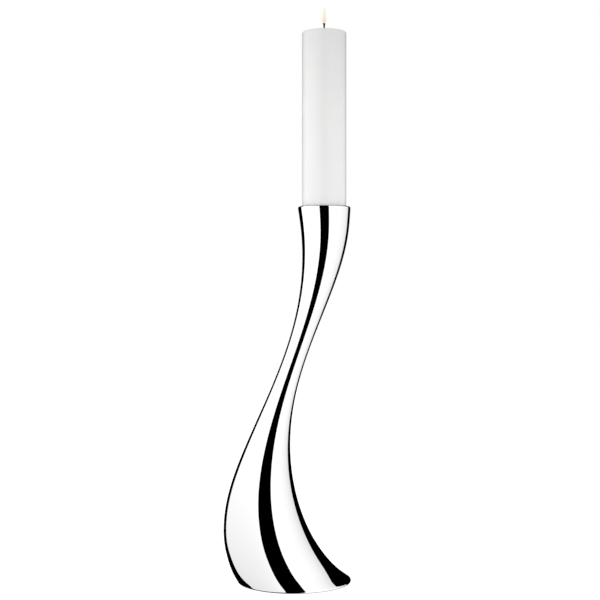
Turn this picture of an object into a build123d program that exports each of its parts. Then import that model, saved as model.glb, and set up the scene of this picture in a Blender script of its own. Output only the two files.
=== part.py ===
from build123d import *

# Candlestick: a leaning, waisted body of polished steel that swells into a round foot at the
# bottom and a cup for one pillar candle at the top.
# Millimetres, +Z up. The origin is the centre of the foot, on the surface that it stands on.
# The body leans along X, and its two sides are alike across the XZ plane.

import os
from math import cos, radians, sin

# ---------------------------------------------------------------- driving dimensions

# Every level section of the body is a circle. Each row is its height, how far its centre
# lies from the foot's centre along X, and its radius.
BODY_SECTIONS = (
    (0.6, -0.7, 77.0),
    (5.0, -5.3, 75.1),
    (12.0, -12.2, 72.2),
    (28.0, -23.6, 67.1),
    (50.0, -34.3, 61.5),
    (80.0, -42.5, 54.2),
    (120.0, -45.5, 44.4),
    (170.0, -40.1, 32.2),
    (220.0, -28.1, 22.4),
    (270.0, -12.1, 16.6),
    (320.0, 5.4, 15.8),
    (370.0, 21.5, 19.4),
    (420.0, 33.4, 25.7),
    (465.0, 38.0, 31.5),
    (485.0, 37.8, 33.7),
    (500.0, 37.2, 35.3),
)
BODY_HEIGHT, MOUTH_X, MOUTH_RADIUS = BODY_SECTIONS[-1]
WALL_AT_FOOT = 2.4          # wall, measured level
WALL_AT_MOUTH = 1.5
FOOT_EDGE_RADIUS = 1.5
LIP_THICKNESS = 1.5
LIP_EDGE_RADIUS = 2.0

FELT_THICKNESS = 1.5
FELT_INSET = 0.9            # felt's edge inside the plate's edge

PLATE_X = -3.5
PLATE_RADIUS = 71.9
PLATE_THICKNESS = 2.5
RECESS_GAP = 0.2            # between the plate's edge and the recess that it sits in

RING_THICKNESS = 4.0
RING_SECTIONS = 4           # how many of the body's sections shape the ring's edge
RING_HOLE_X = -8.0
RING_HOLE_RADIUS = 58.5
WELD_GAP = 0.2

BALLAST_X = -12.0
BALLAST_RADIUS = 53.0
BALLAST_HEIGHT = 21.0
BALLAST_CHAMFER = 3.0

CUP_DEPTH = 12.0
CUP_INNER_RADIUS = 30.5
CUP_WALL = 0.8
CUP_FLOOR = 1.2
CUP_CORNER_RADIUS = 1.0
CUP_EDGE_RADIUS = 0.35

SPIKE_LENGTH = 11.0         # above the cup's floor
SPIKE_COLLAR_RADIUS = 4.5
SPIKE_COLLAR_THICKNESS = 1.0
SPIKE_BASE_RADIUS = 2.5
SPIKE_TIP_RADIUS = 0.3
SPIKE_SHANK_RADIUS = 2.45
WASHER_RADIUS = 5.0
WASHER_THICKNESS = 1.0
NUT_FLATS = 8.0
NUT_HEIGHT = 4.0
SHANK_BEYOND_NUT = 1.0
RUNNING_GAP = 0.15          # round a shank that passes through a plain hole
THREAD_GAP = 0.05           # round a shank in a tapped hole

CANDLE_DIAMETER = 59.0
CANDLE_LENGTH = 244.5
CANDLE_TOP_EDGE_RADIUS = 1.2
CANDLE_BOTTOM_EDGE_RADIUS = 1.0
CANDLE_SPIKE_GAP = 0.3
POOL_RADIUS = 21.0          # dip that the flame melts in the top
POOL_DEPTH = 1.4
WICK_RADIUS = 0.9
WICK_GAP = 0.05
WICK_BURIED_END = 17.0      # end of the wick, above the candle's underside
WICK_STAND_OUT = 13.5

# Countersunk screws: shank radius, head radius, length of the shank beyond the head.
BASE_SCREW = (2.0, 3.8, 5.5)
BALLAST_SCREW = (2.5, 4.6, 14.0)
# Their hexagon sockets: width across the flats, depth.
BASE_SOCKET = (2.5, 1.6)
BALLAST_SOCKET = (3.0, 2.0)
BASE_SCREW_CIRCLE = 64.0
BASE_SCREW_CIRCLE_X = -6.0
BASE_SCREW_ANGLES = (45, 135, 225, 315)
BALLAST_SCREW_CIRCLE = 35.0
BALLAST_SCREW_ANGLES = (60, 180, 300)

# ---------------------------------------------------------------- places worked out from them

PLATE_UNDERSIDE = FELT_THICKNESS
PLATE_TOP = PLATE_UNDERSIDE + PLATE_THICKNESS
RECESS_TOP = PLATE_TOP - WELD_GAP
RING_TOP = PLATE_TOP + RING_THICKNESS
CUP_FLOOR_TOP = BODY_HEIGHT - CUP_DEPTH
CUP_UNDERSIDE = CUP_FLOOR_TOP - CUP_FLOOR
CUP_OUTER_RADIUS = CUP_INNER_RADIUS + CUP_WALL
WASHER_UNDERSIDE = CUP_UNDERSIDE - WASHER_THICKNESS
NUT_UNDERSIDE = WASHER_UNDERSIDE - NUT_HEIGHT
SHANK_END = NUT_UNDERSIDE - SHANK_BEYOND_NUT
CANDLE_TOP = CUP_FLOOR_TOP + CANDLE_LENGTH
CUTTER_OVERRUN = 2.0        # how far a cutting shape runs past what it cuts


def leaning_solid(sections):
    """A solid through level circles, each given by its height, its lean and its radius."""
    return loft([Pos(lean, 0, height) * Circle(radius) for height, lean, radius in sections])


def inside_wall(sections, gap=0.0):
    """The same sections drawn in by the wall, which thins towards the mouth, and by a gap."""
    taper = (WALL_AT_FOOT - WALL_AT_MOUTH) / BODY_HEIGHT
    return [
        (height, lean, radius - WALL_AT_FOOT + taper * height - gap)
        for height, lean, radius in sections
    ]


def upright(radius, bottom, top, x=0.0, y=0.0):
    """An upright cylinder between two heights."""
    middle = (bottom + top) / 2
    return Pos(x, y, middle) * Cylinder(radius, top - bottom)


def upright_cone(bottom_radius, top_radius, bottom, top, x=0.0, y=0.0):
    """An upright cone between two heights."""
    middle = (bottom + top) / 2
    return Pos(x, y, middle) * Cone(bottom_radius, top_radius, top - bottom)


def circle_places(centre_x, circle_radius, angles):
    """Places on a circle round (centre_x, 0)."""
    return [
        (centre_x + circle_radius * cos(radians(a)), circle_radius * sin(radians(a)))
        for a in angles
    ]


BASE_SCREW_PLACES = circle_places(BASE_SCREW_CIRCLE_X, BASE_SCREW_CIRCLE, BASE_SCREW_ANGLES)
BALLAST_SCREW_PLACES = circle_places(BALLAST_X, BALLAST_SCREW_CIRCLE, BALLAST_SCREW_ANGLES)


# ---------------------------------------------------------------- body


def body_shell():
    """The hollow body, with its foot edge rounded and its lip turned in to meet the cup."""
    outside = leaning_solid(BODY_SECTIONS)
    outside = fillet(outside.faces().sort_by(Axis.Z)[-1].edges(), LIP_EDGE_RADIUS)
    outside = fillet(outside.faces().sort_by(Axis.Z)[0].edges(), FOOT_EDGE_RADIUS)
    under_lip = (BODY_HEIGHT - LIP_THICKNESS, MOUTH_X, MOUTH_RADIUS)
    hollow = leaning_solid(inside_wall((*BODY_SECTIONS[:-1], under_lip)))
    hollow &= upright(2 * PLATE_RADIUS, RECESS_TOP, BODY_HEIGHT)
    # The recess is upright, so the foot keeps a flat land all round its rounded edge.
    recess = upright(PLATE_RADIUS + RECESS_GAP, -CUTTER_OVERRUN, PLATE_TOP, PLATE_X)
    mouth = upright(CUP_OUTER_RADIUS, CUP_FLOOR_TOP, BODY_HEIGHT + CUTTER_OVERRUN, MOUTH_X)
    return outside - hollow - recess - mouth


def candle_cup():
    """The pressed dish in the mouth that the candle stands in."""
    dish = upright(CUP_OUTER_RADIUS, CUP_UNDERSIDE, BODY_HEIGHT, MOUTH_X)
    bottom_edge = dish.edges().filter_by(GeomType.CIRCLE).sort_by(Axis.Z)[0]
    dish = fillet(bottom_edge, CUP_CORNER_RADIUS + CUP_WALL)
    room = upright(CUP_INNER_RADIUS, CUP_FLOOR_TOP, BODY_HEIGHT + CUTTER_OVERRUN, MOUTH_X)
    room_edge = room.edges().filter_by(GeomType.CIRCLE).sort_by(Axis.Z)[0]
    room = fillet(room_edge, CUP_CORNER_RADIUS)
    hole_radius = SPIKE_SHANK_RADIUS + RUNNING_GAP
    hole = upright(hole_radius, CUP_UNDERSIDE - CUTTER_OVERRUN, BODY_HEIGHT, MOUTH_X)
    cup = dish - room - hole
    brim = cup.edges().filter_by(GeomType.CIRCLE).group_by(Axis.Z)[-1].sort_by(SortBy.RADIUS)
    return fillet(brim[0], CUP_EDGE_RADIUS)


def candle_spike():
    """The pointed pin that the candle is pushed onto, with its collar and threaded shank."""
    collar_top = CUP_FLOOR_TOP + SPIKE_COLLAR_THICKNESS
    collar = upright(SPIKE_COLLAR_RADIUS, CUP_FLOOR_TOP, collar_top, MOUTH_X)
    tip = CUP_FLOOR_TOP + SPIKE_LENGTH
    point = upright_cone(SPIKE_BASE_RADIUS, SPIKE_TIP_RADIUS, collar_top, tip, MOUTH_X)
    shank = upright(SPIKE_SHANK_RADIUS, SHANK_END, CUP_FLOOR_TOP, MOUTH_X)
    return collar + point + shank


def spike_washer():
    disc = upright(WASHER_RADIUS, WASHER_UNDERSIDE, CUP_UNDERSIDE, MOUTH_X)
    hole_radius = SPIKE_SHANK_RADIUS + RUNNING_GAP
    return disc - upright(hole_radius, NUT_UNDERSIDE, CUP_FLOOR_TOP, MOUTH_X)


def spike_nut():
    corner_radius = NUT_FLATS / 2 / cos(radians(30))
    hexagon = Pos(MOUTH_X, 0, NUT_UNDERSIDE) * RegularPolygon(corner_radius, 6)
    nut = extrude(hexagon, NUT_HEIGHT)
    return nut - upright(SPIKE_SHANK_RADIUS + THREAD_GAP, SHANK_END, CUP_UNDERSIDE, MOUTH_X)


# ---------------------------------------------------------------- foot


def mounting_ring():
    """The ring welded inside the foot, with tapped holes for the base plate's screws."""
    foot = leaning_solid(inside_wall(BODY_SECTIONS[:RING_SECTIONS], WELD_GAP))
    ring = foot & upright(2 * PLATE_RADIUS, PLATE_TOP, RING_TOP)
    above = RING_TOP + CUTTER_OVERRUN
    below = PLATE_TOP - CUTTER_OVERRUN
    ring -= upright(RING_HOLE_RADIUS, below, above, RING_HOLE_X)
    for x, y in BASE_SCREW_PLACES:
        ring -= upright(BASE_SCREW[0] + THREAD_GAP, below, above, x, y)
    return ring


def screw_shape(screw, place, gap=0.0):
    """A countersunk screw, head down, flush with the plate's underside. A gap makes its hole."""
    shank_radius, head_radius, length = screw
    x, y = place
    head_top = PLATE_UNDERSIDE + head_radius - shank_radius
    head = upright_cone(head_radius + gap, shank_radius + gap, PLATE_UNDERSIDE, head_top, x, y)
    shank = upright(shank_radius + gap, head_top, head_top + length + gap, x, y)
    return head + shank


def screws(screw, socket, places):
    """One screw at each place, with a hexagon socket in its head."""
    flats, depth = socket
    hexagon = RegularPolygon(flats / 2 / cos(radians(30)), 6)
    solids = []
    for place in places:
        start = PLATE_UNDERSIDE - CUTTER_OVERRUN
        cutter = extrude(Pos(*place, start) * hexagon, depth + CUTTER_OVERRUN)
        solids.append((screw_shape(screw, place) - cutter).solid())
    return Compound(solids)


def base_plate():
    """The steel disc that closes the foot."""
    plate = upright(PLATE_RADIUS, PLATE_UNDERSIDE, PLATE_TOP, PLATE_X)
    for place in BASE_SCREW_PLACES:
        plate -= screw_shape(BASE_SCREW, place, RUNNING_GAP)
    for place in BALLAST_SCREW_PLACES:
        plate -= screw_shape(BALLAST_SCREW, place, RUNNING_GAP)
    return plate


def ballast_weight():
    """The cast disc that keeps the foot down."""
    weight = upright(BALLAST_RADIUS, PLATE_TOP, PLATE_TOP + BALLAST_HEIGHT, BALLAST_X)
    top_edge = weight.edges().filter_by(GeomType.CIRCLE).sort_by(Axis.Z)[-1]
    weight = chamfer(top_edge, BALLAST_CHAMFER)
    for place in BALLAST_SCREW_PLACES:
        weight -= screw_shape(BALLAST_SCREW, place, THREAD_GAP)
    return weight


def base_screws():
    return screws(BASE_SCREW, BASE_SOCKET, BASE_SCREW_PLACES)


def ballast_screws():
    return screws(BALLAST_SCREW, BALLAST_SOCKET, BALLAST_SCREW_PLACES)


def felt_pad():
    """The pad glued under the plate, which covers its screws."""
    return upright(PLATE_RADIUS - FELT_INSET, 0.0, FELT_THICKNESS, PLATE_X)


# ---------------------------------------------------------------- candle


def candle_wax():
    """The pillar of wax, hollow where the spike and the wick go into it."""
    wax = upright(CANDLE_DIAMETER / 2, CUP_FLOOR_TOP, CANDLE_TOP, MOUTH_X)
    rings = wax.edges().filter_by(GeomType.CIRCLE).sort_by(Axis.Z)
    wax = fillet(rings[-1], CANDLE_TOP_EDGE_RADIUS)
    rings = wax.edges().filter_by(GeomType.CIRCLE).sort_by(Axis.Z)
    wax = fillet(rings[0], CANDLE_BOTTOM_EDGE_RADIUS)
    pool_ball_radius = (POOL_RADIUS**2 + POOL_DEPTH**2) / (2 * POOL_DEPTH)
    ball_height = CANDLE_TOP - POOL_DEPTH + pool_ball_radius
    wax -= Pos(MOUTH_X, 0, ball_height) * Sphere(pool_ball_radius)
    wick_start = CUP_FLOOR_TOP + WICK_BURIED_END
    wax -= upright(WICK_RADIUS + WICK_GAP, wick_start, CANDLE_TOP, MOUTH_X)
    collar_room = CUP_FLOOR_TOP + SPIKE_COLLAR_THICKNESS + CANDLE_SPIKE_GAP
    collar_hole_radius = SPIKE_COLLAR_RADIUS + CANDLE_SPIKE_GAP
    wax -= upright(collar_hole_radius, CUP_FLOOR_TOP - CUTTER_OVERRUN, collar_room, MOUTH_X)
    tip_room = CUP_FLOOR_TOP + SPIKE_LENGTH + 2 * CANDLE_SPIKE_GAP
    point_hole = upright_cone(
        SPIKE_BASE_RADIUS + CANDLE_SPIKE_GAP,
        SPIKE_TIP_RADIUS + CANDLE_SPIKE_GAP,
        collar_room,
        tip_room,
        MOUTH_X,
    )
    return wax - point_hole


def candle_wick():
    wick_start = CUP_FLOOR_TOP + WICK_BURIED_END
    return upright(WICK_RADIUS, wick_start, CANDLE_TOP + WICK_STAND_OUT, MOUTH_X)


PIECES = (
    body_shell,
    candle_cup,
    candle_spike,
    spike_washer,
    spike_nut,
    mounting_ring,
    base_plate,
    ballast_weight,
    base_screws,
    ballast_screws,
    felt_pad,
    candle_wax,
    candle_wick,
)

os.makedirs("parts", exist_ok=True)
for piece in PIECES:
    export_step(piece(), f"parts/{piece.__name__}.step")
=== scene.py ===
"""A polished steel candlestick with a lit pillar candle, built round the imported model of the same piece.

All places are in metres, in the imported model's frame: +Z up, the origin at the centre of the foot on
the floor. Each piece has its own operator, and the sidebar's Candlestick tab lists them in order.
"""

import math

import bpy
import numpy as np
from bpy.props import FloatProperty, FloatVectorProperty, IntProperty, PointerProperty
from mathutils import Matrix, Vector, noise


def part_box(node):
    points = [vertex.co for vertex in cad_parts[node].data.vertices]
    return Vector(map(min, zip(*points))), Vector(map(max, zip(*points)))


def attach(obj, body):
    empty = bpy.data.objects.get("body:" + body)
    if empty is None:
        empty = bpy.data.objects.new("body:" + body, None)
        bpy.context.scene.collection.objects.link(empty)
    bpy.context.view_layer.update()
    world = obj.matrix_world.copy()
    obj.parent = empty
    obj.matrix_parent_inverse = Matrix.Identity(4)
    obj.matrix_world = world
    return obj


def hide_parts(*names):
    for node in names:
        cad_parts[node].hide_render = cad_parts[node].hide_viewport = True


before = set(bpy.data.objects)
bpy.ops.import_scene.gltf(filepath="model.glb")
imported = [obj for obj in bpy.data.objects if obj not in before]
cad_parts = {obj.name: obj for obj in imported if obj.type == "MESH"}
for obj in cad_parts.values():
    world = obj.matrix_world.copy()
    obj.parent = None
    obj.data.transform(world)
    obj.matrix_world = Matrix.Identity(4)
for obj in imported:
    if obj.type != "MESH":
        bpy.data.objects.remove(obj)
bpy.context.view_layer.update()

bl_info = {
    "name": "Candlestick",
    "version": (1, 0, 0),
    "blender": (4, 5, 0),
    "location": "3D View > Sidebar > Candlestick",
    "description": "Builds a polished steel candlestick with a lit pillar candle",
    "category": "Object",
}

MM = 0.001

# The body's level sections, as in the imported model: height, how far the circle's centre lies from
# the foot's centre along X, and radius, in millimetres.
BODY_SECTIONS = (
    (0.6, -0.7, 77.0),
    (5.0, -5.3, 75.1),
    (12.0, -12.2, 72.2),
    (28.0, -23.6, 67.1),
    (50.0, -34.3, 61.5),
    (80.0, -42.5, 54.2),
    (120.0, -45.5, 44.4),
    (170.0, -40.1, 32.2),
    (220.0, -28.1, 22.4),
    (270.0, -12.1, 16.6),
    (320.0, 5.4, 15.8),
    (370.0, 21.5, 19.4),
    (420.0, 33.4, 25.7),
    (465.0, 38.0, 31.5),
    (485.0, 37.8, 33.7),
    (500.0, 37.2, 35.3),
)

BODY_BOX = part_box("body_shell")
CUP_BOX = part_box("candle_cup")
WAX_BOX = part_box("candle_wax")
WICK_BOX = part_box("candle_wick")
FELT_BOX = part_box("felt_pad")
SPIKE_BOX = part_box("candle_spike")
PLATE_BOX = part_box("base_plate")
AXIS_X = (CUP_BOX[0].x + CUP_BOX[1].x) / 2

BODY_TOLERANCE = 0.3 * MM       # how far the visible body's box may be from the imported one's
STRANDS = 3                     # in the wick's braid
STRAND_SIDES = 8
RINGS_IN_PITCH = 14
SENSOR_WIDTH = 36.0             # of the camera, in millimetres


# ---------------------------------------------------------------- sizes and colours


def length(name, description, millimetres):
    """A length that the user can change, stated in millimetres and kept in metres."""
    return FloatProperty(
        name=name,
        description=description,
        default=millimetres * MM,
        min=0.0,
        precision=4,
        subtype="DISTANCE",
        unit="LENGTH",
    )


def share(name, description, default):
    """A number from 0 to 1 that the user can change."""
    return FloatProperty(
        name=name, description=description, default=default, min=0.0, max=1.0, subtype="FACTOR"
    )


def colour(name, description, red, green, blue):
    """A colour that the user can change."""
    return FloatVectorProperty(
        name=name,
        description=description,
        default=(red, green, blue),
        min=0.0,
        max=1.0,
        size=3,
        subtype="COLOR",
    )


class BodySettings(bpy.types.PropertyGroup):
    columns: IntProperty(
        name="Columns", description="Mesh columns round the body", default=420, min=16
    )
    rows: IntProperty(
        name="Rows", description="Mesh rows up the body's outer face", default=180, min=16
    )
    wall_at_foot: length("Wall at foot", "Wall at the foot, measured level", 2.4)
    wall_at_mouth: length("Wall at mouth", "Wall at the mouth, measured level", 1.5)
    lip_thickness: length("Lip thickness", "Depth of the lip that turns in to the cup", 1.5)
    lip_radius: length("Lip rounding", "Radius of the lip's outer edge", 2.0)
    foot_radius: length("Foot rounding", "Radius of the foot's lower edge", 1.5)
    recess_gap: length("Recess gap", "Gap between the base plate's edge and its recess", 0.2)
    ledge_drop: length("Ledge drop", "How far the ledge lies below the base plate's top", 0.2)
    steel: colour("Steel", "Colour of the polished steel", 0.955, 0.955, 0.96)
    polish: share("Polish", "Roughness of the polished steel where it is cleanest", 0.012)


class CupSettings(bpy.types.PropertyGroup):
    wall: length("Wall", "Thickness of the cup's side", 0.8)
    floor: length("Floor", "Thickness of the cup's floor", 1.2)
    corner: length("Corner", "Radius inside the cup between its side and its floor", 1.0)
    hole: length("Hole", "Radius of the hole for the spike", 2.6)


class WaxSettings(bpy.types.PropertyGroup):
    colour: colour("Wax", "Colour of the wax", 0.95, 0.945, 0.93)
    top_rounding: length("Top rounding", "Radius of the candle's top edge", 1.4)
    bottom_rounding: length("Bottom rounding", "Radius of the candle's lower edge", 1.0)
    rim: length("Rim", "Width of the level rim round the melted dip", 5.0)
    dip: length("Dip", "Depth of the dip that the flame has melted", 1.4)
    unevenness: length("Unevenness", "How far the wax's side strays from round", 0.08)


class WickSettings(bpy.types.PropertyGroup):
    strand: length("Strand", "Radius of one strand of the braid", 0.55)
    pitch: length("Pitch", "Length in which the braid repeats", 4.2)
    charred: length("Charred length", "How much of the wick's top is charred", 14.0)


class FlameSettings(bpy.types.PropertyGroup):
    height: length("Height", "Height of the flame above the wick's tip", 22.3)
    radius: length("Radius", "Widest radius of the flame", 2.9)
    lean: length("Lean", "How far the flame's tip leans along X", 1.3)
    overlap: length("Overlap", "How far the flame reaches down the wick", 2.0)
    core: share("Core", "Size of the flame's darker core, as a share of the flame", 0.48)


class StageSettings(bpy.types.PropertyGroup):
    camera_x: FloatProperty(
        name="Camera X", description="Camera's place along X", default=0.0049, unit="LENGTH"
    )
    camera_distance: length("Camera distance", "Camera's distance in front of the foot", 1670.0)
    camera_height: length("Camera height", "Camera's height above the floor", 375.4)
    lens: FloatProperty(
        name="Lens", description="Focal length in millimetres on a 36 mm sensor", default=75.0
    )
    ambient: FloatProperty(
        name="Ambient", description="Strength of the even light on the wax and floor", default=0.68
    )
    card_light: FloatProperty(
        name="Card light", description="Strength of the two white light cards", default=1.12
    )
    left_by_candle: FloatProperty(
        name="Left by candle", description="Left card's strength beside the candle", default=1.24
    )
    right_by_candle: FloatProperty(
        name="Right by candle", description="Right card's strength beside the candle", default=1.02
    )


class CandlestickSettings(bpy.types.PropertyGroup):
    body: PointerProperty(type=BodySettings, name="Body", description="The steel body")
    cup: PointerProperty(type=CupSettings, name="Cup", description="The cup in the mouth")
    wax: PointerProperty(type=WaxSettings, name="Wax", description="The candle's wax")
    wick: PointerProperty(type=WickSettings, name="Wick", description="The candle's wick")
    flame: PointerProperty(type=FlameSettings, name="Flame", description="The candle's flame")
    stage: PointerProperty(type=StageSettings, name="Stage", description="Camera and light")


# ---------------------------------------------------------------- curves and meshes


def smooth_curve(places, values):
    """The natural cubic spline through these values, as a function of an array of places."""
    places = np.array(places, float)
    values = np.array(values, float)
    step = np.diff(places)
    slope = np.diff(values) / step
    count = len(places)
    matrix = np.eye(count)
    right = np.zeros(count)
    for i in range(1, count - 1):
        matrix[i, i - 1 : i + 2] = step[i - 1], 2 * (step[i - 1] + step[i]), step[i]
        right[i] = 6 * (slope[i] - slope[i - 1])
    bend = np.linalg.solve(matrix, right)

    def value(at):
        at = np.asarray(at, float)
        i = np.clip(np.searchsorted(places, at) - 1, 0, count - 2)
        after = at - places[i]
        before = places[i + 1] - at
        ends = (values[i] * before + values[i + 1] * after) / step[i]
        sag = bend[i] * (step[i] + before) + bend[i + 1] * (step[i] + after)
        return ends - sag * before * after / (6 * step[i])

    return value


def swing(start, end, share_of_angle, angle):
    """A direction part of the way round the arc from one unit direction to another."""
    start_share = np.sin((1 - share_of_angle) * angle) / np.sin(angle)
    end_share = np.sin(share_of_angle * angle) / np.sin(angle)
    return start_share * start + end_share * end


def rounded(corners, steps=8):
    """An outline through (radius, height, rounding) corners, each rounded corner as an arc."""
    outline = []
    last = len(corners) - 1
    for i, (x, z, rounding) in enumerate(corners):
        here = np.array((x, z))
        if rounding <= 0 or i in (0, last):
            outline.append((x, z))
            continue
        to_last = np.array(corners[i - 1][:2]) - here
        to_next = np.array(corners[i + 1][:2]) - here
        to_last /= np.linalg.norm(to_last)
        to_next /= np.linalg.norm(to_next)
        half = math.acos(to_last @ to_next) / 2
        inward = (to_last + to_next) / np.linalg.norm(to_last + to_next)
        centre = here + inward * rounding / math.sin(half)
        start = (here + to_last * rounding / math.tan(half) - centre) / rounding
        end = (here + to_next * rounding / math.tan(half) - centre) / rounding
        for part in spread(0.0, 1.0, steps + 1):
            arc = centre + rounding * swing(start, end, part, math.pi - 2 * half)
            outline.append((float(arc[0]), float(arc[1])))
    return outline


def mesh_piece(name, points, faces, sharp_degrees=40):
    """A new object from points and faces, smooth apart from edges sharper than the angle."""
    mesh = bpy.data.meshes.new(name)
    mesh.from_pydata([tuple(p) for p in points], [], faces)
    mesh.validate()
    mesh.shade_smooth()
    mesh.set_sharp_from_angle(angle=math.radians(sharp_degrees))
    mesh.update()
    made = bpy.data.objects.new(name, mesh)
    bpy.context.scene.collection.objects.link(made)
    return made


def ring_faces(rows, columns, closed):
    """Quads between neighbouring rings of points. A closed set joins the last ring to the first."""
    faces = []
    for row in range(rows if closed else rows - 1):
        here = row * columns
        above = (row + 1) % rows * columns
        for column in range(columns):
            beside = (column + 1) % columns
            faces.append((here + column, here + beside, above + beside, above + column))
    return faces


def lathe(name, outline, columns=128, centre_x=AXIS_X, uneven=None):
    """A turned piece. Its outline runs anticlockwise in (radius, height), from below to above.

    An outline that starts and ends on the axis is closed by a point at each end; any other is a
    closed loop round a hole. uneven moves a point, given its place.
    """
    on_axis = outline[0][0] == 0 and outline[-1][0] == 0
    rings = outline[1:-1] if on_axis else outline
    turns = [2 * math.pi * i / columns for i in range(columns)]
    points = [Vector((r * math.cos(a), r * math.sin(a), z)) for r, z in rings for a in turns]
    faces = ring_faces(len(rings), columns, not on_axis)
    if on_axis:
        bottom = len(points)
        points += [Vector((0, 0, outline[0][1])), Vector((0, 0, outline[-1][1]))]
        last = (len(rings) - 1) * columns
        for column in range(columns):
            beside = (column + 1) % columns
            faces.append((bottom, beside, column))
            faces.append((bottom + 1, last + column, last + beside))
    if uneven:
        points = [uneven(p) for p in points]
    return mesh_piece(name, [p + Vector((centre_x, 0, 0)) for p in points], faces)


def spread(start, end, count):
    """Evenly spaced numbers from start to end, both included."""
    return [start + (end - start) * i / (count - 1) for i in range(count)]


# ---------------------------------------------------------------- materials


class Shader:
    """A material under construction, with short calls that add and join its nodes."""

    def __init__(self, name):
        self.material = bpy.data.materials.new(name)
        self.material.use_nodes = True
        self.tree = self.material.node_tree
        self.tree.nodes.clear()
        self.output = self.tree.nodes.new("ShaderNodeOutputMaterial")
        self.places = self.tree.nodes.new("ShaderNodeTexCoord").outputs["Object"]

    def node(self, kind, inputs=None, **settings):
        """A new node. An input is a number, a colour or another node's output."""
        made = self.tree.nodes.new("ShaderNode" + kind)
        for name, value in settings.items():
            setattr(made, name, value)
        for name, value in (inputs or {}).items():
            if isinstance(value, bpy.types.NodeSocket):
                self.tree.links.new(value, made.inputs[name])
            else:
                made.inputs[name].default_value = value
        return made

    def noise(self, scale, detail=3.0, stretch=(1, 1, 1), roughness=0.5):
        """Noise from 0 to 1 over the piece. stretch squeezes the pattern along each axis."""
        where = self.node("Mapping", {"Vector": self.places, "Scale": stretch})
        inputs = {
            "Vector": where.outputs["Vector"],
            "Scale": scale,
            "Detail": detail,
            "Roughness": roughness,
        }
        return self.node("TexNoise", inputs).outputs["Fac"]

    def spots(self, scale, feature="F1"):
        """Distance to the nearest of many scattered points."""
        inputs = {"Vector": self.places, "Scale": scale}
        return self.node("TexVoronoi", inputs, feature=feature).outputs["Distance"]

    def along(self, axis, low, high, at_low=0.0, at_high=1.0):
        """A value that goes from at_low to at_high between two places along an axis."""
        split = self.node("SeparateXYZ", {"Vector": self.places})
        return self.scaled(split.outputs[axis], low, high, at_low, at_high)

    def scaled(self, value, from_low, from_high, to_low, to_high):
        """value moved from one range to another, and kept inside it."""
        inputs = {
            "Value": value,
            "From Min": from_low,
            "From Max": from_high,
            "To Min": to_low,
            "To Max": to_high,
        }
        return self.node("MapRange", inputs, clamp=True).outputs["Result"]

    def blend(self, value, *stops):
        """A colour ramp. Each stop is (place, (red, green, blue))."""
        ramp = self.node("ValToRGB", {"Fac": value})
        elements = ramp.color_ramp.elements
        while len(elements) < len(stops):
            elements.new(1.0)
        for element, (place, rgb) in zip(elements, stops):
            element.position = place
            element.color = (*rgb, 1.0)
        return ramp.outputs["Color"]

    def bump(self, height, distance, strength=1.0):
        """A normal roughened by a height, with the distance in metres."""
        inputs = {"Height": height, "Distance": distance, "Strength": strength}
        return self.node("Bump", inputs).outputs["Normal"]

    def math(self, operation, first, second=0.0):
        """The result of one sum on two values, each a number or another node's output."""
        made = self.node("Math", operation=operation)
        for socket, value in zip(made.inputs, (first, second)):
            if isinstance(value, bpy.types.NodeSocket):
                self.tree.links.new(value, socket)
            else:
                socket.default_value = value
        return made.outputs["Value"]

    def finish(self, surface):
        """Joins the surface to the output and returns the material."""
        self.tree.links.new(surface, self.output.inputs["Surface"])
        return self.material

    def principled(self, **inputs):
        """Finishes the material as one Principled surface. Names use _ where sockets have spaces."""
        named = {name.replace("_", " "): value for name, value in inputs.items()}
        return self.finish(self.node("BsdfPrincipled", named).outputs["BSDF"])


def shades(rgb, factor):
    """A colour made darker or lighter by a factor."""
    return tuple(min(1.0, c * factor) for c in rgb)


def polished_steel(settings):
    """Mirror polish: the faintest clouding and hairlines from the polishing mop."""
    s = Shader("polished_steel")
    clouding = s.noise(9.0, detail=4.0)
    hairlines = s.noise(900.0, detail=2.0, stretch=(1.0, 1.0, 0.04))
    marks = s.math("MULTIPLY", clouding, hairlines)
    rough = s.scaled(marks, 0.15, 0.5, settings.polish, settings.polish * 2.5)
    tint = s.blend(clouding, (0.3, shades(settings.steel, 0.985)), (0.7, tuple(settings.steel)))
    return s.principled(Base_Color=tint, Metallic=1.0, Roughness=rough)


def plain_steel():
    """Turned or rolled steel, bare and slightly oiled."""
    s = Shader("plain_steel")
    lines = s.noise(1400.0, detail=3.0, stretch=(1.0, 1.0, 0.06))
    stain = s.noise(60.0, detail=5.0)
    tint = s.blend(stain, (0.35, (0.42, 0.42, 0.43)), (0.65, (0.58, 0.58, 0.59)))
    rough = s.scaled(lines, 0.3, 0.7, 0.24, 0.42)
    normal = s.bump(lines, 0.00002, 0.6)
    return s.principled(Base_Color=tint, Metallic=1.0, Roughness=rough, Normal=normal)


def cast_iron():
    """A sand casting, painted thinly in dark grey."""
    s = Shader("cast_iron")
    grain = s.noise(700.0, detail=4.0, roughness=0.7)
    pits = s.spots(260.0)
    tint = s.blend(grain, (0.35, (0.035, 0.036, 0.038)), (0.7, (0.085, 0.085, 0.088)))
    rough = s.scaled(grain, 0.3, 0.7, 0.55, 0.8)
    surface = s.math("MULTIPLY", grain, pits)
    return s.principled(
        Base_Color=tint, Metallic=0.35, Roughness=rough, Normal=s.bump(surface, 0.0003)
    )


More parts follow.
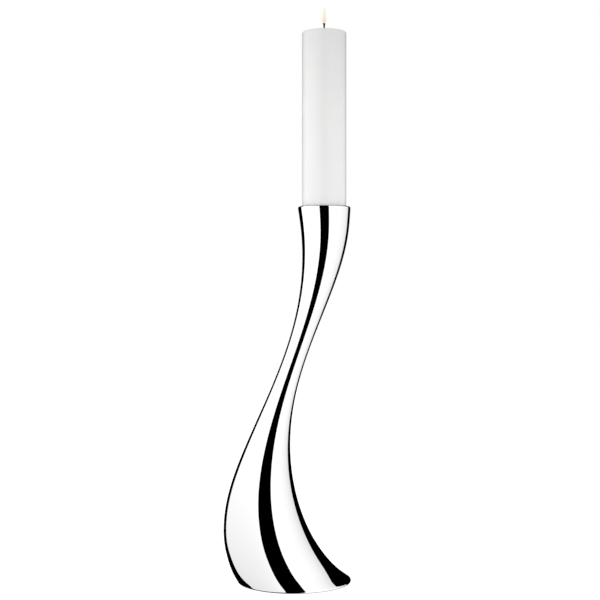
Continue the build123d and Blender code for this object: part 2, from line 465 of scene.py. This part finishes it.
def black_felt():
    """Pressed wool felt: matted fibres with a soft nap."""
    s = Shader("black_felt")
    fibres = s.noise(2600.0, detail=3.0, stretch=(1.0, 0.35, 1.0), roughness=0.7)
    mats = s.noise(300.0, detail=4.0)
    matted = s.math("ADD", s.math("MULTIPLY", fibres, 0.7), s.math("MULTIPLY", mats, 0.3))
    tint = s.blend(matted, (0.35, (0.010, 0.010, 0.012)), (0.7, (0.055, 0.055, 0.06)))
    return s.principled(
        Base_Color=tint,
        Roughness=0.95,
        Sheen_Weight=0.5,
        Sheen_Roughness=0.6,
        Normal=s.bump(matted, 0.0003),
    )


def candle_wax(settings, low, high):
    """White wax: light sinks into it, and the top is glossy where it has melted."""
    s = Shader("white_wax")
    mottle = s.noise(34.0, detail=4.0)
    grain = s.noise(1500.0, detail=2.0)
    streaks = s.noise(120.0, detail=3.0, stretch=(1.0, 1.0, 0.08))
    tint = s.blend(mottle, (0.3, shades(settings.colour, 0.985)), (0.7, tuple(settings.colour)))
    side_rough = s.scaled(mottle, 0.3, 0.7, 0.42, 0.52)
    melted = s.along("Z", high - 1.1 * MM, high - 0.6 * MM, 1.0, 0.0)
    rough = s.node("Mix", data_type="FLOAT")
    s.tree.links.new(melted, rough.inputs["Factor"])
    s.tree.links.new(side_rough, rough.inputs["A"])
    rough.inputs["B"].default_value = 0.12
    surface = s.math("ADD", s.math("MULTIPLY", grain, 0.4), streaks)
    return s.principled(
        Base_Color=tint,
        Roughness=rough.outputs["Result"],
        Subsurface_Weight=0.85,
        Subsurface_Radius=(1.0, 0.95, 0.9),
        Subsurface_Scale=0.006,
        Specular_IOR_Level=0.35,
        IOR=1.44,
        Normal=s.bump(surface, 0.00003, 0.5),
    )


def wick_cotton(tip, charred):
    """Braided cotton, waxed at the bottom and burnt black towards the tip."""
    s = Shader("wick_cotton")
    burnt = s.along("Z", tip - charred, tip)
    fray = s.noise(1800.0, detail=3.0)
    place = s.math("ADD", burnt, s.math("MULTIPLY", s.math("SUBTRACT", fray, 0.5), 0.25))
    tint = s.blend(
        place,
        (0.0, (0.62, 0.58, 0.50)),
        (0.12, (0.080, 0.072, 0.066)),
        (0.45, (0.030, 0.028, 0.028)),
        (1.0, (0.010, 0.010, 0.012)),
    )
    rough = s.scaled(fray, 0.3, 0.7, 0.75, 0.95)
    return s.principled(Base_Color=tint, Roughness=rough, Normal=s.bump(fray, 0.00008))


def flame_light(low, high, density, foot_tint, middle_tint, tip_tint):
    """Glowing gas, which is clear at its lower end and thins out towards its tip."""
    s = Shader("flame_light")
    rise = s.along("Z", low, high)
    flicker = s.noise(260.0, detail=2.0, stretch=(1.0, 1.0, 0.4))
    place = s.math("ADD", rise, s.math("MULTIPLY", s.math("SUBTRACT", flicker, 0.5), 0.08))
    tint = s.blend(place, (0.05, foot_tint), (0.30, middle_tint), (0.95, tip_tint))
    glow = s.node("Emission", {"Color": tint, "Strength": 1.0})
    clear = s.node("BsdfTransparent")
    foot = s.scaled(rise, 0.0, 0.09, 0.0, density)
    tip = s.scaled(rise, 0.7, 1.0, 1.0, 0.3)
    inputs = {
        "Fac": s.math("MULTIPLY", foot, tip),
        1: clear.outputs["BSDF"],
        2: glow.outputs["Emission"],
    }
    return s.finish(s.node("MixShader", inputs).outputs["Shader"])


# ---------------------------------------------------------------- operators


def settings():
    """The sizes and colours that the sidebar shows."""
    return bpy.context.scene.candlestick


def finish_piece(piece, material, body, slot, *nodes):
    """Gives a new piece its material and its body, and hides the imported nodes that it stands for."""
    piece.data.materials.append(material)
    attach(piece, body)
    if nodes:
        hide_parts(*nodes)


def dress_nodes(material, *names):
    """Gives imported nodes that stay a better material."""
    for name in names:
        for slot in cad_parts[name].material_slots:
            slot.material = material


class CANDLESTICK_OT_body(bpy.types.Operator):
    """Build the leaning steel body"""

    bl_idname = "candlestick.body"
    bl_label = "Body"

    def execute(self, context):
        s = settings().body
        heights, leans, radii = (np.array(column) * MM for column in zip(*BODY_SECTIONS))
        lean = smooth_curve(heights, leans)
        radius = smooth_curve(heights, radii)
        bottom, top = heights[0], heights[-1]
        turns = np.arange(s.columns) * 2 * math.pi / s.columns
        across = np.stack([np.cos(turns), np.sin(turns), np.zeros(s.columns)], 1)
        upward = np.array([0.0, 0.0, 1.0])

        def skin(z, drawn_in=0.0):
            """Points of the outer face at these heights, one for each column."""
            points = across * (radius(z) - drawn_in)[:, None]
            points[:, 0] += lean(z)
            points[:, 2] = z
            return points

        def outward(z):
            """The outer face's normal at these heights, one for each column."""
            nudge = 1e-6
            rise = (radius(z + nudge) - radius(z - nudge)) / (2 * nudge)
            drift = (lean(z + nudge) - lean(z - nudge)) / (2 * nudge)
            normal = across.copy()
            normal[:, 2] = -rise - drift * across[:, 0]
            return normal / np.linalg.norm(normal, axis=1)[:, None]

        def rolled_edge(face_height, rounding, side, steps=10):
            """Rings that round the face into a level plane, as a ball rolled along the edge would.

            side is 1 for the top and -1 for the bottom. Returns where the ball touches the face,
            then the rings from there to the level plane.
            """
            touch = np.full(s.columns, face_height - side * rounding)
            for _ in range(60):
                touch = face_height - side * rounding + rounding * outward(touch)[:, 2]
            normal = outward(touch)
            centre = skin(touch) - rounding * normal
            angle = np.arccos(normal @ (side * upward))[:, None]
            arcs = (swing(normal, side * upward, part, angle) for part in spread(0.0, 1.0, steps))
            return touch, [centre + rounding * arc for arc in arcs]

        foot_touch, foot_rings = rolled_edge(bottom, s.foot_radius, -1)
        lip_touch, lip_rings = rolled_edge(top, s.lip_radius, 1)
        rings = list(reversed(foot_rings))
        for step in spread(0.0, 1.0, s.rows)[1:-1]:
            eased = step ** 1.25
            rings.append(skin(foot_touch + (lip_touch - foot_touch) * eased))
        rings += lip_rings

        # The lip's level top and the short wall of the hole that the cup fills.
        mouth = across * (CUP_BOX[1].x - CUP_BOX[0].x) / 2
        mouth[:, 0] += AXIS_X
        under_lip = top - s.lip_thickness
        land = lip_rings[-1]
        rings += [land + (mouth + top * upward - land) * part for part in (0.5, 1.0)]
        rings.append(mouth + under_lip * upward)

        def wall(z):
            """The wall's level thickness at a height."""
            return s.wall_at_foot + (s.wall_at_mouth - s.wall_at_foot) * z / top

        # The hollow, down to the ledge over the recess that the base plate sits in.
        recess_top = PLATE_BOX[1].z - s.ledge_drop
        for z in spread(under_lip, recess_top, 20):
            level = np.full(s.columns, z)
            rings.append(skin(level, wall(z)))
        recess = across * ((PLATE_BOX[1].x - PLATE_BOX[0].x) / 2 + s.recess_gap)
        recess[:, 0] += (PLATE_BOX[0].x + PLATE_BOX[1].x) / 2
        rings += [recess + recess_top * upward, recess + bottom * upward]
        points = np.concatenate(rings)
        faces = ring_faces(len(rings), s.columns, closed=True)
        body = mesh_piece("body", points, faces, sharp_degrees=50)
        low_error = np.abs(points.min(0) - np.array(BODY_BOX[0]))
        high_error = np.abs(points.max(0) - np.array(BODY_BOX[1]))
        error = max(low_error.max(), high_error.max())
        if error > BODY_TOLERANCE:
            raise RuntimeError(f"the body is {error / MM:.2f} mm out of step with the packed model")
        finish_piece(body, polished_steel(s), "holder", "polished_steel", "body_shell")
        return {"FINISHED"}


class CANDLESTICK_OT_cup(bpy.types.Operator):
    """Build the pressed cup that the candle stands in"""

    bl_idname = "candlestick.cup"
    bl_label = "Cup"

    def execute(self, context):
        s = settings().cup
        low, high = CUP_BOX
        outer = (high.x - low.x) / 2
        inner = outer - s.wall
        floor = low.z + s.floor
        corners = (
            (s.hole, floor, 0),
            (s.hole, low.z, 0),
            (outer, low.z, s.corner + s.wall),
            (outer, high.z, 0.1 * MM),
            (inner, high.z, 0.35 * MM),
            (inner, floor, s.corner),
            (s.hole, floor, 0),
        )
        outline = rounded(corners)[:-1]
        cup = lathe("cup", outline, columns=160)
        material = polished_steel(settings().body)
        finish_piece(cup, material, "holder", "polished_steel", "candle_cup")
        return {"FINISHED"}


class CANDLESTICK_OT_wax(bpy.types.Operator):
    """Build the pillar of wax, with the dip that the flame has melted in its top"""

    bl_idname = "candlestick.wax"
    bl_label = "Wax"

    def execute(self, context):
        s = settings().wax
        low, high = WAX_BOX
        outer = (high.x - low.x) / 2
        collar = (SPIKE_BOX[1].x - SPIKE_BOX[0].x) / 2 + 0.3 * MM
        spike_tip = SPIKE_BOX[1].z + 0.6 * MM
        collar_top = low.z + 1.3 * MM
        wick_hole = (WICK_BOX[1].x - WICK_BOX[0].x) / 2 + 0.05 * MM
        pool = high.z - s.dip
        side = [(outer, z, 0) for z in spread(low.z + 0.01, high.z - 0.01, 48)]
        corners = (
            (0, spike_tip, 0),
            (0.6 * MM, spike_tip, 0),
            (2.8 * MM, collar_top, 0),
            (collar, collar_top, 0),
            (collar, low.z, 0),
            (outer, low.z, s.bottom_rounding),
            *side,
            (outer, high.z, s.top_rounding),
            (outer - s.rim, high.z - 0.1 * MM, 3.0 * MM),
            (outer - 2 * s.rim, pool + 0.15 * MM, 4.0 * MM),
            (0.4 * outer, pool, 0),
            (0.2 * outer, pool - 0.1 * MM, 0),
            (wick_hole, pool - 0.1 * MM, 0),
            (wick_hole, WICK_BOX[0].z, 0),
            (0, WICK_BOX[0].z, 0),
        )

        def uneven(point):
            """Leaves the candle very slightly out of round, as poured wax is, above the cup."""
            outwards = Vector((point.x, point.y, 0))
            if outwards.length < 0.5 * outer or point.z < CUP_BOX[1].z:
                return point
            stray = noise.noise(Vector((point.x * 30, point.y * 30, point.z * 14)))
            stray += 0.4 * noise.noise(point * 110)
            return point + outwards.normalized() * stray * s.unevenness

        wax = lathe("wax", rounded(corners, steps=10), columns=160, uneven=uneven)
        finish_piece(wax, candle_wax(s, low.z, high.z), "candle", "wax", "candle_wax")
        return {"FINISHED"}


class CANDLESTICK_OT_wick(bpy.types.Operator):
    """Build the braided wick, charred and thickened at its tip"""

    bl_idname = "candlestick.wick"
    bl_label = "Wick"

    def execute(self, context):
        s = settings().wick
        low, high = WICK_BOX
        reach = (high.x - low.x) / 2 - 0.5 * s.strand
        step = s.pitch / RINGS_IN_PITCH
        rings = int((high.z - low.z) / step)
        points = []
        faces = []
        for strand in range(STRANDS):
            phase = 2 * math.pi * strand / STRANDS
            first = len(points)
            for ring in range(rings + 1):
                z = low.z + (high.z - low.z) * ring / rings
                turn = 2 * math.pi * (z - low.z) / s.pitch + phase
                below_tip = (high.z - z) / (3 * MM)
                swell = 1 + 0.45 * math.exp(-((below_tip - 0.5) ** 2) * 3)
                taper = min(1.0, 0.25 + math.sqrt(max(0.0, high.z - z) / (1.2 * MM)))
                centre = Vector(
                    (
                        AXIS_X + reach * math.sin(turn) * swell * taper,
                        0.6 * reach * math.sin(2 * turn) * swell * taper,
                        z,
                    )
                )
                for side in range(STRAND_SIDES):
                    a = 2 * math.pi * side / STRAND_SIDES
                    ragged = 1 + 0.18 * noise.noise(centre * 3000 + Vector((a, strand, 0)))
                    r = s.strand * swell * taper * ragged
                    points.append(centre + Vector((r * math.cos(a), r * math.sin(a), 0)))
            for a, b, c, d in ring_faces(rings + 1, STRAND_SIDES, closed=False):
                faces.append((first + a, first + b, first + c, first + d))
            faces.append(tuple(first + k for k in reversed(range(STRAND_SIDES))))
            last = first + rings * STRAND_SIDES
            faces.append(tuple(last + k for k in range(STRAND_SIDES)))
        wick = mesh_piece("wick", points, faces, sharp_degrees=60)
        finish_piece(wick, wick_cotton(high.z, s.charred), "candle", "wick", "candle_wick")
        return {"FINISHED"}


class CANDLESTICK_OT_flame(bpy.types.Operator):
    """Build the small flame"""

    bl_idname = "candlestick.flame"
    bl_label = "Flame"

    def execute(self, context):
        s = settings().flame
        tip = WICK_BOX[1].z
        low = tip - s.overlap
        high = tip + s.height
        # How wide the flame is, as a share of its widest, at shares of its height.
        shares = (0.0, 0.10, 0.24, 0.50, 0.72, 0.90, 1.0)
        width = smooth_curve(shares, (0.0, 0.72, 1.0, 0.84, 0.62, 0.32, 0.0))

        def sway(point):
            """Leans the flame, more and more towards its tip."""
            part = (point.z - low) / (high - low)
            curl = 0.25 * math.sin(part * 2 * math.pi)
            return point + Vector((s.lean * (part * part + curl * part), 0, 0))

        def shell(name, size, material):
            """One closed skin of the flame, which stands on the flame's lower end."""
            rise = (high - low) * size
            outline = [(0, low)]
            for part in spread(0.0, 1.0, 60)[1:-1]:
                outline.append((s.radius * size * float(width(part)), low + rise * part))
            outline.append((0, low + rise))
            skin = lathe(name, outline, columns=48, uneven=sway)
            skin.visible_shadow = False
            finish_piece(skin, material, "candle", None)

        gold = (1.0, 0.80, 0.54)
        outer = flame_light(low, high, 0.55, gold, (0.94, 0.84, 0.66), (0.94, 0.87, 0.70))
        shell("flame", 1.0, outer)
        core_top = low + (high - low) * s.core
        core = flame_light(low, core_top, 0.9, gold, (0.74, 0.60, 0.36), (0.88, 0.77, 0.55))
        shell("flame_core", s.core, core)
        return {"FINISHED"}


class CANDLESTICK_OT_spike(bpy.types.Operator):
    """Finish the spike, its washer and its nut"""

    bl_idname = "candlestick.spike"
    bl_label = "Spike and nut"

    def execute(self, context):
        dress_nodes(plain_steel(), "candle_spike", "spike_washer", "spike_nut")
        return {"FINISHED"}


class CANDLESTICK_OT_foot(bpy.types.Operator):
    """Finish the ring, plate, ballast and screws inside the foot"""

    bl_idname = "candlestick.foot"
    bl_label = "Foot's inside"

    def execute(self, context):
        steel = plain_steel()
        dress_nodes(steel, "mounting_ring", "base_plate", "base_screws", "ballast_screws")
        dress_nodes(cast_iron(), "ballast_weight")
        return {"FINISHED"}


class CANDLESTICK_OT_felt(bpy.types.Operator):
    """Build the felt pad under the foot"""

    bl_idname = "candlestick.felt"
    bl_label = "Felt pad"

    def execute(self, context):
        low, high = FELT_BOX
        centre_x = (low.x + high.x) / 2
        outer = (high.x - low.x) / 2
        rings = spread(0.0, outer - 1.0 * MM, 40)[1:]
        corners = (
            (0, low.z, 0),
            *((r, low.z, 0) for r in rings),
            (outer, low.z, 0.6 * MM),
            (outer, high.z, 0.3 * MM),
            *((r, high.z, 0) for r in reversed(rings)),
            (0, high.z, 0),
        )

        def nap(point):
            """Leaves the felt's lower face and edge slightly lumpy."""
            if point.z > (low.z + high.z) / 2:
                return point
            return point + Vector((0, 0, 0.05 * MM * abs(noise.noise(point * 400))))

        felt = lathe("felt", rounded(corners), columns=160, centre_x=centre_x, uneven=nap)
        finish_piece(felt, black_felt(), "holder", "felt", "felt_pad")
        return {"FINISHED"}


# Each light card stands upright. Its outline is given as (distance along the card, height,
# rounding) in metres, from the end nearer the camera, which stands at the first place on the
# floor plan. The steel mirrors the cards and the dark between and beyond them, so the outlines
# decide where the dark stripes fall. They are shaped for the view from the front.
LEFT_CARD = (
    (-0.147, -0.459),
    (-0.323, 0.232),
    (
        (-0.038, -0.14, 0),
        (0.56, -0.14, 0.08),
        (0.68, -0.03, 0.08),
        (0.69, 0.27, 0.1),
        (0.655, 0.38, 0.1),
        (0.66, 1.1, 0),
        (0, 1.1, 0),
        (0, 0.45, 0.1),
        (-0.038, 0.12, 0),
    ),
)
RIGHT_CARD = (
    (0.125, -0.273),
    (0.706, 0.558),
    (
        (-0.03, -0.8, 0),
        (0.84, -0.8, 0),
        (0.86, 0.20, 0.3),
        (0.79, 0.40, 0.2),
        (0.85, 0.60, 0.2),
        (0.85, 1.1, 0),
        (0, 1.1, 0),
        (0.002, 0.26, 0.1),
        (-0.03, 0.15, 0),
    ),
)

# Each dimming is (axis, from, to, strength at from, strength at to), in metres on the card.
LEFT_DIMS_TO_FLOOR = ("Z", -0.13, 0.25, 0.74, 1.0)
RIGHT_DIMS_TO_FAR_END = ("X", 0.10, 0.65, 1.0, 0.72)
BOTH_DIM_TO_TOP = ("Z", 0.65, 0.95, 1.0, 0.2)
CANDLE_STARTS = 0.35            # heights between which a card changes to its strength
CANDLE_REACHED = 0.60           # beside the candle

FLOOR_HALF_SIDE = 4.0
FLOOR_GLOW = 0.6


class CANDLESTICK_OT_stage(bpy.types.Operator):
    """Set up the camera, the floor and the soft light"""

    bl_idname = "candlestick.stage"
    bl_label = "Stage"

    def execute(self, context):
        s = settings().stage
        scene = context.scene
        scene.view_settings.view_transform = "Standard"
        self.add_camera(scene, s)
        self.add_floor(scene)
        light = s.card_light
        self.add_card("left_card", LEFT_CARD, light, LEFT_DIMS_TO_FLOOR, s.left_by_candle)
        self.add_card("right_card", RIGHT_CARD, light, RIGHT_DIMS_TO_FAR_END, s.right_by_candle)
        self.light_room(scene, s.ambient)
        return {"FINISHED"}

    def add_camera(self, scene, s):
        """A level camera that looks along Y."""
        data = bpy.data.cameras.new("camera")
        data.lens = s.lens
        data.sensor_width = SENSOR_WIDTH
        camera = bpy.data.objects.new("camera", data)
        camera.location = (s.camera_x, -s.camera_distance, s.camera_height)
        camera.rotation_euler = (math.radians(90), 0, 0)
        scene.collection.objects.link(camera)
        scene.camera = camera

    def add_floor(self, scene):
        """A pale floor that the light evens out."""
        half = FLOOR_HALF_SIDE
        points = [(-half, -half, 0), (half, -half, 0), (half, half, 0), (-half, half, 0)]
        floor = mesh_piece("floor", points, [(0, 1, 2, 3)])
        shader = Shader("floor_paint")
        grain = shader.noise(3.0)
        tint = shader.blend(grain, (0.3, (0.90, 0.90, 0.90)), (0.7, (0.93, 0.93, 0.93)))
        paint = shader.node("BsdfDiffuse", {"Color": tint}).outputs["BSDF"]
        glow = shader.node("Emission", {"Strength": FLOOR_GLOW}).outputs["Emission"]
        both = shader.node("AddShader", {0: paint, 1: glow}).outputs["Shader"]
        floor.data.materials.append(shader.finish(both))
        floor.visible_glossy = False
        floor.visible_diffuse = False

    def add_card(self, name, place, strength, dimming, by_candle):
        """A white card that the light shines through. It shows in the steel and not to the camera."""
        start, end, outline = place
        points = [(distance, 0, height) for distance, height in rounded(outline)]
        card = mesh_piece(name, points, [tuple(range(len(points)))])
        card.location = (*start, 0)
        card.rotation_euler.z = math.atan2(end[1] - start[1], end[0] - start[0])
        shader = Shader(name)
        upper = shader.along("Z", CANDLE_STARTS, CANDLE_REACHED, 1.0, by_candle)
        towards_top = shader.along(*BOTH_DIM_TO_TOP)
        dimmed = shader.math("MULTIPLY", shader.along(*dimming), upper)
        light = shader.math("MULTIPLY", shader.math("MULTIPLY", dimmed, towards_top), strength)
        glow = shader.node("Emission", {"Strength": light}).outputs["Emission"]
        card.data.materials.append(shader.finish(glow))
        card.visible_camera = False
        card.visible_shadow = False

    def light_room(self, scene, ambient):
        """White behind everything, an even light on matt surfaces, and dark in the steel."""
        world = bpy.data.worlds.new("studio")
        world.use_nodes = True
        tree = world.node_tree
        tree.nodes.clear()
        path = tree.nodes.new("ShaderNodeLightPath")
        even = tree.nodes.new("ShaderNodeMath")
        even.operation = "MULTIPLY_ADD"
        tree.links.new(path.outputs["Is Diffuse Ray"], even.inputs[0])
        even.inputs[1].default_value = ambient
        tree.links.new(path.outputs["Is Camera Ray"], even.inputs[2])
        background = tree.nodes.new("ShaderNodeBackground")
        background.inputs["Color"].default_value = (1, 1, 1, 1)
        tree.links.new(even.outputs["Value"], background.inputs["Strength"])
        output = tree.nodes.new("ShaderNodeOutputWorld")
        tree.links.new(background.outputs["Background"], output.inputs["Surface"])
        scene.world = world


PIECES = (
    CANDLESTICK_OT_body,
    CANDLESTICK_OT_cup,
    CANDLESTICK_OT_spike,
    CANDLESTICK_OT_foot,
    CANDLESTICK_OT_felt,
    CANDLESTICK_OT_wax,
    CANDLESTICK_OT_wick,
    CANDLESTICK_OT_flame,
    CANDLESTICK_OT_stage,
)


class CANDLESTICK_PT_pieces(bpy.types.Panel):
    """Lists the candlestick's pieces"""

    bl_idname = "CANDLESTICK_PT_pieces"
    bl_label = "Candlestick"
    bl_space_type = "VIEW_3D"
    bl_region_type = "UI"
    bl_category = "Candlestick"

    def draw(self, context):
        for piece in PIECES:
            self.layout.operator(piece.bl_idname)
        for group in ("body", "cup", "wax", "wick", "flame", "stage"):
            box = self.layout.box()
            box.label(text=group.capitalize())
            values = getattr(context.scene.candlestick, group)
            for name in values.__annotations__:
                box.prop(values, name)


CLASSES = (
    BodySettings,
    CupSettings,
    WaxSettings,
    WickSettings,
    FlameSettings,
    StageSettings,
    CandlestickSettings,
    *PIECES,
    CANDLESTICK_PT_pieces,
)


def register():
    """Adds the classes and the scene's settings."""
    for cls in CLASSES:
        bpy.utils.register_class(cls)
    bpy.types.Scene.candlestick = PointerProperty(
        type=CandlestickSettings, name="Candlestick", description="The candlestick's sizes and colours"
    )


def unregister():
    """Takes the settings and the classes away again."""
    del bpy.types.Scene.candlestick
    for cls in reversed(CLASSES):
        bpy.utils.unregister_class(cls)


def main():
    """Builds every piece in order."""
    register()
    for piece in PIECES:
        group, action = piece.bl_idname.split(".")
        getattr(getattr(bpy.ops, group), action)()


if __name__ == "__main__":
    main()
